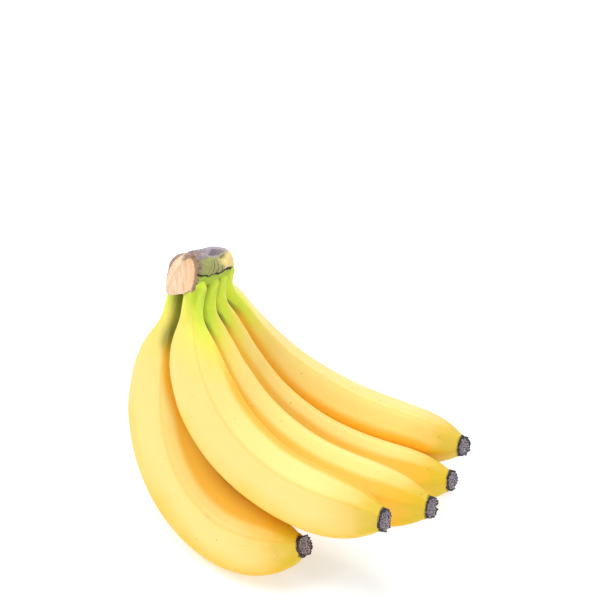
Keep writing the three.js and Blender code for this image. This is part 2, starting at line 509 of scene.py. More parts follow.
@dataclass
class Shell:
    """A closed mesh made of rings of points, with a point in the middle of each end.

    Attributes:
        name: the object's name.
        rings: the points, by ring and by place in the ring.
        first: the point before the first ring.
        last: the point after the last ring.
        fields: what the finish reads from the mesh, by name.
    """

    name: str
    rings: np.ndarray
    first: np.ndarray
    last: np.ndarray
    fields: dict[str, np.ndarray] = field(default_factory=dict)

    def number(self, name: str, values: np.ndarray) -> None:
        """Keeps one number for each point of the rings."""
        self.fields[name] = np.concatenate([values, values[:1], values[-1:]])

    def vector(self, name: str, values: np.ndarray) -> None:
        """Keeps one vector for each point of the rings."""
        self.fields[name] = np.vstack([values, values[:1], values[-1:]])

    def faces(self) -> list[tuple[int, ...]]:
        """Lists the faces.

        Returns:
            The quads between the rings and the triangles of both ends, all facing out.
        """
        count, sides = self.rings.shape[:2]
        start, end = count * sides, count * sides + 1
        made: list[tuple[int, ...]] = []
        for j in range(sides):
            k = (j + 1) % sides
            made += [
                (i * sides + j, i * sides + k, (i + 1) * sides + k, (i + 1) * sides + j)
                for i in range(count - 1)
            ]
            made.append((start, k, j))
            made.append((end, (count - 1) * sides + j, (count - 1) * sides + k))
        return made

    def dressed(self, material: Material, slot: Slot, *nodes: str) -> bpy.types.Object:
        """Makes the object, in its material and in place of the frame's nodes.

        Args:
            material: the finish.
            slot: the record's slot that the finish belongs to; not used.
            nodes: the nodes that the object stands for.

        Returns:
            The new object, which rides on the bunch's one body.
        """
        points = np.vstack([self.rings.reshape(-1, 3), self.first, self.last])
        mesh = bpy.data.meshes.new(self.name)
        mesh.from_pydata(points.tolist(), [], self.faces())
        for name, values in self.fields.items():
            kind = "FLOAT_VECTOR" if values.ndim == 2 else "FLOAT"
            attribute = mesh.attributes.new(name, kind, "POINT")
            attribute.data.foreach_set("vector" if values.ndim == 2 else "value", values.ravel())
        mesh.polygons.foreach_set("use_smooth", [True] * len(mesh.polygons))
        mesh.materials.append(material)
        made = bpy.data.objects.new(self.name, mesh)
        bpy.context.scene.collection.objects.link(made)
        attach(made, "root")
        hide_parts(*nodes)
        LOG.info("%s: %d faces, in place of %s", self.name, len(mesh.polygons), ", ".join(nodes))
        return made


@dataclass
class BlossomEnd:
    """The dried remains of a flower at the far end of a banana.

    Attributes:
        number: the banana's number.
        spine: the banana's centreline.
        facing: the way that its broken face leans.
        size: its size against the fruit's own tip.
        length: how far it stands out of the fruit.
        sunk: how far it starts inside the fruit.
        hollow: how far the middle of its face is sunken.
        oblique: slope of its face.
        narrow: its width against its depth.
        profile: its half width at shares of its length, against size.
        outside: rings from its foot to its rim.
        inside: rings from its rim to the middle of its face.
        face: shares of the half width between which those rings lie.
        pale_rim: shares of it between which the face turns from its pale middle to its rim.
        lumps: its coarse relief.
        crumbs: its fine relief.
        jags: the relief of its rim, which runs along its sides.
        seed: picks the reliefs.
        sides: points in each ring.
    """

    number: int
    spine: Spine
    facing: np.ndarray
    size: float = 1.0
    length: float = 0.0026
    sunk: float = 0.0008
    hollow: float = 0.0012
    oblique: float = 0.30
    narrow: float = 0.95
    profile: Table = ((0.0, 0.86), (0.15, 0.93), (0.4, 0.92), (1.0, 0.86))
    outside: int = 15
    inside: int = 14
    face: Span = (0.93, 0.06)
    pale_rim: Span = (0.80, 0.93)
    lumps: Relief = Relief(pitch=0.0045, height=0.0005, swell=0.05)
    crumbs: Relief = Relief(pitch=0.0013, height=0.0002, swell=0.02)
    jags: Relief = Relief(pitch=0.0024, height=0.0006, swell=0.03)
    seed: int = 40
    sides: int = 72

    def smooth_form(self, outside: np.ndarray, inside: np.ndarray) -> np.ndarray:
        """Shapes the stub without its relief.

        Args:
            outside: shares of its length, from its foot to its rim.
            inside: shares of its half width, from its rim to its middle.

        Returns:
            Its points by ring: two distances across the banana's end and one along it.
        """
        half = self.spine.half[-1] * self.size
        angle = angles_round(self.sides)
        radial = np.concatenate([along(self.profile, outside), along(self.profile, [1.0]) * inside])
        ahead = np.concatenate([
            -self.sunk + outside * (self.length + self.sunk),
            self.length - self.hollow * (1 - inside ** 2) ** 0.8,
        ])
        leaning = np.array([self.facing @ self.spine.hollow[-1], self.facing @ self.spine.across[-1]])
        leaning /= np.linalg.norm(leaning)
        slant = leaning[0] * np.cos(angle) + leaning[1] * np.sin(angle)
        grown = np.concatenate([outside ** 1.5, np.ones(len(inside))]) * radial * half * self.oblique
        return np.stack([
            radial[:, None] * np.cos(angle)[None] * half,
            radial[:, None] * np.sin(angle)[None] * half,
            ahead[:, None] - grown[:, None] * slant[None],
        ], axis=-1)

    def build(self, dry: Material) -> bpy.types.Object:
        """Makes the stub from its outside rings and the rings of its sunken face.

        Args:
            dry: the finish.

        Returns:
            The stub, in place of the dry end's solid.
        """
        outside = np.linspace(0.0, 1.0, self.outside)
        inside = np.linspace(*self.face, self.inside)
        form = self.smooth_form(outside, inside)
        grid, flat = form.shape[:2], form.reshape(-1, 3)
        seed, lengthwise = self.seed + 3 * self.number, np.array([1.0, 1.0, 0.2])
        lumps = ripples(seed, flat, self.lumps.pitch).reshape(grid)
        crumbs = ripples(seed + 1, flat, self.crumbs.pitch).reshape(grid)
        jags = ripples(seed + 2, flat * lengthwise, self.jags.pitch).reshape(grid)
        rim = np.concatenate([outside ** 3, inside ** 2])[:, None]
        swell = 1 + self.lumps.swell * lumps + self.crumbs.swell * crumbs + self.jags.swell * jags * rim
        rough = rim * (self.jags.height * jags + self.lumps.height * lumps)
        raised = form[..., 2] + rough + self.crumbs.height * crumbs
        place, forward = self.spine.place[-1], self.spine.forward[-1]
        rings = (
            place
            + (form[..., 0] * swell)[..., None] * self.spine.hollow[-1]
            + (form[..., 1] * swell * self.narrow)[..., None] * self.spine.across[-1]
            + raised[..., None] * forward
        )
        first = place - forward * self.sunk
        last = place + forward * (self.length - self.hollow * 0.7)
        pale = np.concatenate([0.25 * outside ** 4, 1 - 0.75 * smooth_step(*self.pale_rim, inside)])
        stub = Shell(f"blossom_end_{self.number}_stub", rings, first, last)
        stub.vector("straight", flat)
        stub.number("raised", (pale[:, None] + 0.12 * crumbs).ravel())
        return stub.dressed(dry, Slot.DRY_END, f"blossom_end_{self.number}")


@dataclass(frozen=True)
class Station:
    """One place along the crown, in the hanging frame, with its half width and half height."""

    at: Point
    wide: float
    high: float


@dataclass
class CrownSkin:
    """The crown's points before their relief, by ring, with what is known of each point.

    Attributes:
        points: places in the hanging frame.
        out: the way out of the flesh.
        cut: 1 on the cut face, 0 elsewhere.
        along: share of the crown's length.
        up: 1 on the crown's top, -1 on its underside.
        rim: 1 on the edge of the cut face, falling to 0 at its middle and just past it.
        left: 1 well to the left of the crown's middle line, 0 to its right.
        end: the middle of its far end.
    """

    points: np.ndarray
    out: np.ndarray
    cut: np.ndarray
    along: np.ndarray
    up: np.ndarray
    rim: np.ndarray
    left: np.ndarray
    end: np.ndarray


@dataclass
class Crown:
    """The cut crown that carries all the necks.

    Attributes:
        stations: its sections, from the cut face to its far end.
        lying: the way that its sections' width lies, before each is set square to the crown.
        seam: heights of the black seam above the necks, from left to right.
        slant: how far the cut face leans for each metre of height.
        taper: how much narrower its top is at the cut.
        cut_reach: shares of its length over which slant and taper fade.
        square: power that makes its sections squarer.
        height_seen: how much of y and z the photo's side shows as height.
        lumps: its coarse relief.
        crumbs: its fine relief.
        jags: the relief of the cut's edge.
        seam_depth: how deep the seam is, with its half width in seam_wide.
        seam_wander: how far the seam strays.
        notch_at: share of its length at the step in its dry cap.
        notch_reach: how softly the step starts and how sharply it ends, in the same shares.
        notch_depth: how deep the step is.
        fold_pitch: from one fold of its side to the next, with its height in fold_height.
        fold_curl: how far the folds curl away from fold_level, where they stand upright.
        lip_at: place from left to right, and height, of the lip over banana_2's neck.
        lip_reach: its size both ways, with its height in lip_height.
        cut_depth: how far the cut face is sunken.
        flank_end: shares of its length at which the open flesh of its left side ends.
        seed: picks its reliefs.
        rings: rings of points along it.
        cut_rings: rings of points on the cut face, with its middle and its edge.
        sides: points in each ring.
    """

    stations: Sequence[Station] = (
        Station((-0.0100, -0.011, 0.0092), 0.0074, 0.0122),
        Station((-0.0097, -0.007, 0.0088), 0.0092, 0.0126),
        Station((-0.0080, 0.000, 0.0085), 0.0150, 0.0125),
        Station((-0.0040, 0.008, 0.0072), 0.0170, 0.0100),
        Station((0.0000, 0.016, 0.0068), 0.0175, 0.0098),
        Station((0.0040, 0.025, 0.0058), 0.0160, 0.0092),
        Station((0.0070, 0.031, 0.0048), 0.0110, 0.0078),
        Station((0.0090, 0.035, 0.0042), 0.0050, 0.0046),
    )
    lying: Point = (-0.85, 0.48, -0.22)
    seam: Table = ((-0.0024, 0.0050), (0.0048, 0.0046), (0.0115, 0.0067), (0.0152, 0.0098))
    slant: float = 0.54
    taper: float = 0.30
    cut_reach: Span = (0.05, 0.45)
    square: float = 0.8
    height_seen: Span = (0.342, 0.94)
    lumps: Relief = Relief(pitch=0.012, height=0.00045)
    crumbs: Relief = Relief(pitch=0.0022, height=0.00015)
    jags: Relief = Relief(pitch=0.0028, height=0.0007)
    seam_depth: float = 0.0010
    seam_wide: float = 0.0009
    seam_wander: float = 0.0005
    notch_at: float = 0.56
    notch_reach: Span = (0.15, 0.015)
    notch_depth: float = 0.0046
    fold_pitch: float = 0.0022
    fold_height: float = 0.00022
    fold_curl: float = 33.0
    fold_level: float = 0.012
    lip_at: Span = (-0.0062, -0.0014)
    lip_reach: Span = (0.0034, 0.0030)
    lip_height: float = 0.0024
    cut_depth: float = 0.0008
    flank_end: Span = (0.27, 0.22)
    seed: int = 72
    rings: int = 110
    cut_rings: int = 26
    sides: int = 128

    def outline(self, share: np.ndarray) -> tuple[np.ndarray, np.ndarray, np.ndarray]:
        """Reads the stations without their corners.

        Args:
            share: shares of the crown's length.

        Returns:
            Centres, half widths and half heights.
        """
        reach, width, samples = 0.08, 0.06, 17
        knots = np.linspace(0.0, 1.0, len(self.stations))
        rows = np.array([[*s.at, s.wide, s.high] for s in self.stations])
        offsets = np.linspace(-reach, reach, samples)
        spread = np.clip(share[:, None] + offsets[None], 0.0, 1.0)
        weights = bell(offsets, 0.0, width)
        read = np.stack([
            np.interp(spread, knots, column) @ weights / weights.sum() for column in rows.T
        ], axis=1)
        return read[:, :3], read[:, 3], read[:, 4]

    def skin(self) -> CrownSkin:
        """Makes the cut face and the body, without relief.

        Returns:
            The points of both and what is known of them.
        """
        share = np.linspace(0.0, 1.0, self.rings)
        centre, wide, high = self.outline(share)
        axis = unit_rows(np.gradient(centre, axis=0))
        up = np.cross(np.array(self.lying) / np.linalg.norm(self.lying), axis)
        up *= np.sign(up[:, 2:]) / np.linalg.norm(up, axis=1)[:, None]
        side = np.cross(axis, up)
        angle = angles_round(self.sides)
        upright, level = squarer(np.cos(angle), self.square), squarer(np.sin(angle), self.square)
        by_cut = (1 - smooth_step(*self.cut_reach, share))[:, None]
        narrower = 1 - self.taper * by_cut * upright
        body = (
            centre[:, None]
            + (high[:, None] * upright)[..., None] * up[:, None]
            + (wide[:, None] * level * narrower)[..., None] * side[:, None]
        )
        body[..., 0] += self.slant * by_cut * (body[..., 2] - centre[:, None, 2])
        inward = np.linspace(0.0, 1.0, self.cut_rings)[1:-1]
        face = centre[0] + (body[0] - centre[0])[None] * inward[:, None, None]
        points = np.concatenate([face, body])
        facing = np.tile(-axis[0], (len(face), self.sides, 1))
        middle = np.concatenate([np.full(len(face), centre[0, 0]), centre[:, 0]])[:, None]
        whole = np.ones(self.sides)
        return CrownSkin(
            points=points,
            out=unit_rows(np.concatenate([facing, body - centre[:, None]])),
            cut=np.repeat([1.0, 0.0], [len(face), len(body)])[:, None] * whole,
            along=np.concatenate([np.zeros(len(face)), share])[:, None] * whole,
            up=np.cos(angle)[None] * np.ones((len(points), 1)),
            rim=np.concatenate([inward, np.clip(1 - share * 14, 0, 1)])[:, None] * whole,
            left=smooth_step(0.0, 0.0035, middle - points[..., 0]),
            end=centre[-1],
        )

    def build(self, laying: Laying, finish: Material) -> bpy.types.Object:
        """Adds the relief: lumps, the seam, the folds, the step in the cap and the lip.

        Args:
            laying: how the bunch lies.
            finish: the crown's finish.

        Returns:
            The crown's flesh, in place of its solid.
        """
        skin = self.skin()
        grid, flat = skin.points.shape[:2], skin.points.reshape(-1, 3)
        lumps = ripples(self.seed, flat, self.lumps.pitch).reshape(grid)
        crumbs = ripples(self.seed + 1, flat, self.crumbs.pitch).reshape(grid)
        jags = ripples(self.seed + 2, flat, self.jags.pitch).reshape(grid)
        back, level = self.height_seen
        aside, above = skin.points[..., 0], skin.points[..., 2] * level + skin.points[..., 1] * back
        front = smooth_step(-0.15, 0.10, -skin.out[..., 1]) * (1 - skin.cut)

        line = above + self.seam_wander * jags - along(self.seam, aside)
        begun = smooth_step(self.seam[0][0] - 0.001, self.seam[0][0] + 0.001, aside)
        seam = bell(line, 0.0, self.seam_wide + 0.0002 * lumps) * front * begun
        under = smooth_step(0.0, 0.0012, -line) * front * begun

        reach = np.where(skin.along < self.notch_at, *self.notch_reach)
        notch = bell(skin.along, self.notch_at, reach) * smooth_step(-0.3, 0.6, skin.up)
        curl = self.fold_curl * (above - self.fold_level) ** 2
        folds = np.cos((aside + curl) * 2 * math.pi / self.fold_pitch)
        folds = folds * front * smooth_step(0.003, 0.008, aside) * (1 - under)
        folds = folds * smooth_step(0.85, 0.5, skin.up)
        lip = bell(aside, self.lip_at[0], self.lip_reach[0])
        lip = lip * bell(above, self.lip_at[1], self.lip_reach[1])
        edge = self.jags.height * jags * bell(skin.rim, 1.0, 0.2)
        sunken = self.cut_depth * skin.cut * (1 - skin.rim ** 4)
        push = (
            self.lumps.height * lumps + self.crumbs.height * crumbs + self.lip_height * lip
            - self.notch_depth * notch - self.seam_depth * seam + self.fold_height * folds
            + (edge - sunken) * (1 - skin.left)
        )
        rings = skin.points + skin.out * push[..., None]

        flank = skin.left * smooth_step(*self.flank_end, skin.along)
        past = np.where(skin.cut > 0, 0.0, smooth_step(0.06, 0.24, skin.along))
        rim = skin.rim + skin.left * (past - skin.rim)
        laid = laying.places(rings.reshape(-1, 3)).reshape(rings.shape)
        ends = laying.places(np.array([rings[0].mean(axis=0), skin.end]))
        crown = Shell("crown_flesh", laid, ends[0], ends[1])
        crown.vector("hanging", flat)
        for name, values in (
            ("cut", np.maximum(skin.cut, flank)), ("rim", rim), ("up", skin.up),
            ("along", skin.along), ("seam", seam), ("under", under), ("folds", folds),
        ):
            crown.number(name, values.ravel())
        return crown.dressed(finish, Slot.CROWN, "crown")


class Arithmetic(Enum):
    """The steps of arithmetic that the finishes take."""

    PLUS = "ADD"
    MINUS = "SUBTRACT"
    TIMES = "MULTIPLY"
    OVER = "DIVIDE"


class Blend(Enum):
    """The ways in which the finishes mix two colours."""

    PLAIN = "MIX"
    OVERLAY = "OVERLAY"


class Sketch:
    """A material's nodes, made and joined by short calls."""

    def __init__(self, name: str) -> None:
        """Starts an empty material with one Principled shader.

        Args:
            name: the material's name.
        """
        self.material = bpy.data.materials.new(name)
        self.material.use_nodes = True
        self.tree = self.material.node_tree
        self.shader = self.tree.nodes["Principled BSDF"]

    def set(self, **sockets: Union[float, tuple[float, ...]]) -> None:
        """Sets the shader's own sockets, named with _ for each space."""
        for name, value in sockets.items():
            self.shader.inputs[name.replace("_", " ")].default_value = value

    def node(self, kind: str, inputs: dict | None = None, **settings: str) -> bpy.types.Node:
        """Adds a node.

        Args:
            kind: Blender's name for it.
            inputs: values or sockets to join, by the input's name or number.
            settings: the node's own settings.

        Returns:
            The node.
        """
        made = self.tree.nodes.new(kind)
        for name, value in settings.items():
            setattr(made, name, value)
        for name, value in (inputs or {}).items():
            self.feed(made.inputs[name], value)
        return made

    def feed(self, socket: Socket, value: Feed) -> None:
        """Joins a socket to another, or sets its value.

        Args:
            socket: the input.
            value: a socket, a number or a colour.
        """
        if isinstance(value, Socket):
            self.tree.links.new(value, socket)
        else:
            socket.default_value = value

    def read(self, name: str, vector: bool = False) -> Socket:
        """Reads a number or a vector that the mesh keeps for its points."""
        made = self.node("ShaderNodeAttribute", attribute_name=name, attribute_type="GEOMETRY")
        return made.outputs["Vector" if vector else "Fac"]

    def stretched(self, vector: Socket, lengthwise: float) -> Socket:
        """Scales a vector's third number, so that a pattern on it is stretched along it."""
        made = self.node("ShaderNodeMapping", {"Vector": vector, "Scale": (1.0, 1.0, lengthwise)})
        return made.outputs["Vector"]

    def noise(self, vector: Socket, scale: float, detail: float = 3.0) -> Socket:
        """A cloudy pattern from 0 to 1."""
        made = self.node("ShaderNodeTexNoise", {"Vector": vector, "Scale": scale, "Detail": detail})
        return made.outputs["Fac"]

    def arithmetic(self, kind: Arithmetic, first: Feed, second: Feed) -> Socket:
        """Takes one step of arithmetic on two numbers."""
        made = self.node("ShaderNodeMath", {0: first, 1: second}, operation=kind.value)
        return made.outputs[0]

    def plus(self, first: Feed, second: Feed) -> Socket:
        """Adds two numbers."""
        return self.arithmetic(Arithmetic.PLUS, first, second)

    def minus(self, first: Feed, second: Feed) -> Socket:
        """Takes the second number from the first."""
        return self.arithmetic(Arithmetic.MINUS, first, second)

    def times(self, first: Feed, second: Feed) -> Socket:
        """Multiplies two numbers."""
        return self.arithmetic(Arithmetic.TIMES, first, second)

    def shifted(self, value: Socket, pattern: Socket, reach: float) -> Socket:
        """Shifts a number by a pattern, by up to half of reach to either side."""
        return self.plus(value, self.times(self.minus(pattern, 0.5), reach))

    def fade(
        self, value: Socket, low: float, high: float, start: float = 0.0, end: float = 1.0
    ) -> Socket:
        """Changes smoothly from one number to another.

        Args:
            value: what the change follows.
            low: the value at which it starts.
            high: the value at which it ends.
            start: the number up to low.
            end: the number from high on.

        Returns:
            The changing number.
        """
        made = self.node(
            "ShaderNodeMapRange",
            {"Value": value, "From Min": low, "From Max": high, "To Min": start, "To Max": end},
            interpolation_type="SMOOTHSTEP",
        )
        return made.outputs["Result"]

    def mix(self, share: Feed, first: Feed, second: Feed, blend: Blend = Blend.PLAIN) -> Socket:
        """Mixes two colours.

        Args:
            share: how much of the second shows, from 0 to 1.
            first: a colour or a socket.
            second: the colour or socket that is laid over it.
            blend: how it is laid over.

        Returns:
            The mixed colour.
        """
        made = self.node("ShaderNodeMix", data_type="RGBA", blend_type=blend.value)
        for number, value in ((0, share), (6, first), (7, second)):
            if isinstance(value, tuple):
                value = (*value, 1.0)
            self.feed(made.inputs[number], value)
        return made.outputs[2]

    def bump(self, height: Socket, depth: float) -> None:
        """Joins a relief of some depth to the shader."""
        made = self.node("ShaderNodeBump", {"Height": height, "Distance": depth, "Strength": 1.0})
        self.feed(self.shader.inputs["Normal"], made.outputs["Normal"])


@dataclass(frozen=True)
class PeelFinish:
    """Ripe peel: yellow with a green neck, an olive tip, small specks and fine fibres, with painted
    light and shade.

    Attributes:
        pale: the yellow where painted light falls on the peel, and of its paler clouds.
        deep: the yellow of painted shade on the side away from that light, and of its deeper clouds.
        warm_and_painted_shade: painted shade in the deep yellow bands and in the nooks between bodies,
            and the warmer yellow of the edges and of the last part before the tip.
        shade: painted shade in the nooks between necks.
        young: just past the green of the neck.
        neck: the neck's green, with streaks of neck_deep.
        olive: round the dry end.
        brown: specks, rubbed edges and the ring at the dry end.
        roughness: of its smoothest and of its dullest places.
        specular: how glossy it is.
        glow: how much light passes through the outer flesh.
        glow_colour: how far red, green and blue light get, against glow_reach.
        glow_reach: how far the light gets.
        relief: depth of its fine relief.
        relief_scale: cells of that relief in a metre, as in the next scales.
        cloud_scale: of the soft clouds in its yellow.
        wander_scale: of the wandering borders between its colours.
        patch_scale: of the streaks on the neck and the rubbed places on the edges.
        fibre_scale: of the fibres, across them.
        speck_scale: of the cells of which a few hold a speck.
        ragged_scale: of the ragged ring at the dry end.
    """

    pale: Colour = (0.95, 0.735, 0.24)
    deep: Colour = (0.92, 0.54, 0.018)
    warm_and_painted_shade: Colour = (0.88, 0.45, 0.008)
    shade: Colour = (0.13, 0.18, 0.010)
    young: Colour = (0.90, 0.80, 0.08)
    neck: Colour = (0.70, 0.88, 0.06)
    neck_deep: Colour = (0.46, 0.62, 0.03)
    olive: Colour = (0.66, 0.50, 0.015)
    brown: Colour = (0.11, 0.055, 0.018)
    roughness: Span = (0.40, 0.52)
    specular: float = 0.24
    glow: float = 0.12
    glow_colour: Colour = (1.0, 0.45, 0.08)
    glow_reach: float = 0.004
    relief: float = 0.00018
    relief_scale: float = 220.0
    cloud_scale: float = 26.0
    wander_scale: float = 90.0
    patch_scale: float = 160.0
    fibre_scale: float = 900.0
    speck_scale: float = 330.0
    ragged_scale: float = 700.0

    def yellows(self, s: Sketch, clouds: Socket, from_crown: Socket) -> Socket:
        """Colours the ripe body with painted light and shade: paler where it faces the painted light,
        deeper away from it, and with a painted shade band of deeper yellow.

        Args:
            s: the material's nodes.
            clouds: a soft pattern.
            from_crown: distance from the crown end.

        Returns:
            The colour.
        """
        # painted light and shade: paler where the skin faces the painted light, deeper away from it,
        # shifted by soft clouds
        painted_light = s.minus(s.read("painted_light"), s.times(clouds, 0.9))
        painted_light = s.plus(painted_light, s.fade(from_crown, 0.03, 0.09, 0.5, 0.0))
        colour = s.mix(s.fade(painted_light, -0.80, 0.25), self.deep, self.pale)
        # painted shade: a band of deeper yellow round one side, past the neck
        painted_shade_side = s.fade(s.shifted(s.read("painted_shade_side"), clouds, 0.5), 0.05, 0.9, 0.0, 0.75)
        return s.mix(s.times(painted_shade_side, s.fade(from_crown, 0.03, 0.07)), colour, self.warm_and_painted_shade)

    def greens(self, s: Sketch, colour: Socket, wander: Socket, from_crown: Socket) -> Socket:
        """Lays the painted shade of the nooks, the young yellow and the green of the neck over a
        colour.

        Args:
            s: the material's nodes.
            colour: the ripe body's colour.
            wander: a streaky pattern that makes the borders wander.
            from_crown: distance from the crown end.

        Returns:
            The colour with its neck.
        """
        straight = s.read("straight", vector=True)
        # painted shade in the nooks: dark between necks, deep yellow between bodies
        between = s.mix(s.fade(from_crown, 0.028, 0.048), self.shade, self.warm_and_painted_shade)
        painted_nook_shade = s.fade(s.shifted(s.read("painted_nook_shade"), wander, 0.35), 0.08, 0.95, 0.0, 0.92)
        colour = s.mix(painted_nook_shade, colour, between)
        past = s.minus(s.shifted(from_crown, wander, 0.022), s.read("ripeness"))
        young = s.times(s.fade(past, -0.010, 0.045, 0.8, 0.0), s.minus(1.0, painted_nook_shade))
        colour = s.mix(young, colour, self.young)
        streaks = s.fade(s.noise(s.stretched(straight, 0.25), self.patch_scale), 0.40, 0.70)
        green = s.mix(painted_nook_shade, s.mix(streaks, self.neck, self.neck_deep), between)
        return s.mix(s.fade(past, -0.020, 0.014, 0.95, 0.0), colour, green)

    def material(self) -> Material:
        """Makes the material.

        Returns:
            The peel.
        """
        s = Sketch("peel")
        straight = s.read("straight", vector=True)
        from_crown, from_tip = s.read("from_crown"), s.read("from_tip")
        clouds = s.noise(straight, self.cloud_scale, 2.0)
        fibres = s.noise(s.stretched(straight, 0.035), self.fibre_scale)
        wander = s.noise(s.stretched(straight, 0.3), self.wander_scale)
        colour = self.greens(s, self.yellows(s, clouds, from_crown), wander, from_crown)

        near_tip = s.shifted(from_tip, wander, 0.03)
        colour = s.mix(s.fade(near_tip, 0.004, 0.046, 0.50, 0.0), colour, self.warm_and_painted_shade)
        colour = s.mix(s.fade(near_tip, 0.002, 0.020, 0.65, 0.0), colour, self.olive)

        edge, patches = s.read("edge"), s.noise(straight, self.patch_scale, 4.0)
        rubbed = s.times(s.fade(edge, 0.90, 1.0), s.fade(patches, 0.56, 0.74))
        colour = s.mix(s.fade(edge, 0.80, 1.0, 0.0, 0.26), colour, self.warm_and_painted_shade)
        colour = s.mix(s.times(rubbed, 0.22), colour, self.brown)

        cells = s.node("ShaderNodeTexVoronoi", {"Vector": straight, "Scale": self.speck_scale})
        chosen = s.node("ShaderNodeSeparateColor", {"Color": cells.outputs["Color"]}).outputs["Red"]
        size = s.fade(chosen, 0.93, 1.0, 0.001, 0.20)
        speck = s.arithmetic(Arithmetic.OVER, cells.outputs["Distance"], size)
        speck = s.fade(speck, 0.6, 1.0, 1.0, 0.0)
        colour = s.mix(s.times(speck, 0.45), colour, self.brown)
        grain = s.node("ShaderNodeValToRGB", {"Fac": fibres}).outputs["Color"]
        colour = s.mix(0.06, colour, grain, Blend.OVERLAY)
        ragged = s.shifted(from_tip, s.noise(straight, self.ragged_scale), 0.003)
        colour = s.mix(s.fade(ragged, 0.0002, 0.0009, 0.55, 0.0), colour, self.brown)

        s.feed(s.shader.inputs["Base Color"], colour)
        s.feed(s.shader.inputs["Roughness"], s.fade(clouds, 0.2, 0.8, *self.roughness))
        s.set(Specular_IOR_Level=self.specular, Subsurface_Weight=self.glow)
        s.set(Subsurface_Radius=self.glow_colour, Subsurface_Scale=self.glow_reach)
        relief = s.plus(s.times(fibres, 0.35), s.noise(straight, self.relief_scale))
        s.bump(s.minus(relief, s.times(speck, 0.25)), self.relief)
        return s.material


@dataclass(frozen=True)
class DryFinish:
    """Dried flower remains: nearly black purple-brown with pale crumbs on what stands out.

    Attributes:
        dark: the hollows.
        brown: the broken face.
        pale: the crumbs.
        roughness: all over.
        relief: depth of the relief.
        coarse_scale: cells in a metre of the pattern of hollows.
        fine_scale: cells in a metre of the pattern of crumbs.
    """

    dark: Colour = (0.022, 0.015, 0.020)
    brown: Colour = (0.13, 0.095, 0.105)
    pale: Colour = (0.58, 0.50, 0.54)
    roughness: float = 0.88
    relief: float = 0.0006
    coarse_scale: float = 650.0
    fine_scale: float = 1500.0

    def material(self) -> Material:
        """Makes the material.

        Returns:
            The dry ends' finish.
        """
        s = Sketch("dry_end")
        straight = s.read("straight", vector=True)
        coarse, fine = s.noise(straight, self.coarse_scale, 4.0), s.noise(straight, self.fine_scale)
        face = s.read("raised")
        ground = s.mix(s.fade(face, 0.2, 0.8), self.dark, self.brown)
        colour = s.mix(s.fade(coarse, 0.50, 0.62), ground, self.dark)
        crumbs = s.times(s.fade(fine, 0.47, 0.62), s.fade(face, 0.1, 0.9, 0.12, 0.95))
        s.feed(s.shader.inputs["Base Color"], s.mix(crumbs, colour, self.pale))
        s.set(Roughness=self.roughness)
        s.bump(s.plus(s.times(coarse, -1.0), s.times(fine, 0.6)), self.relief)
        return s.material


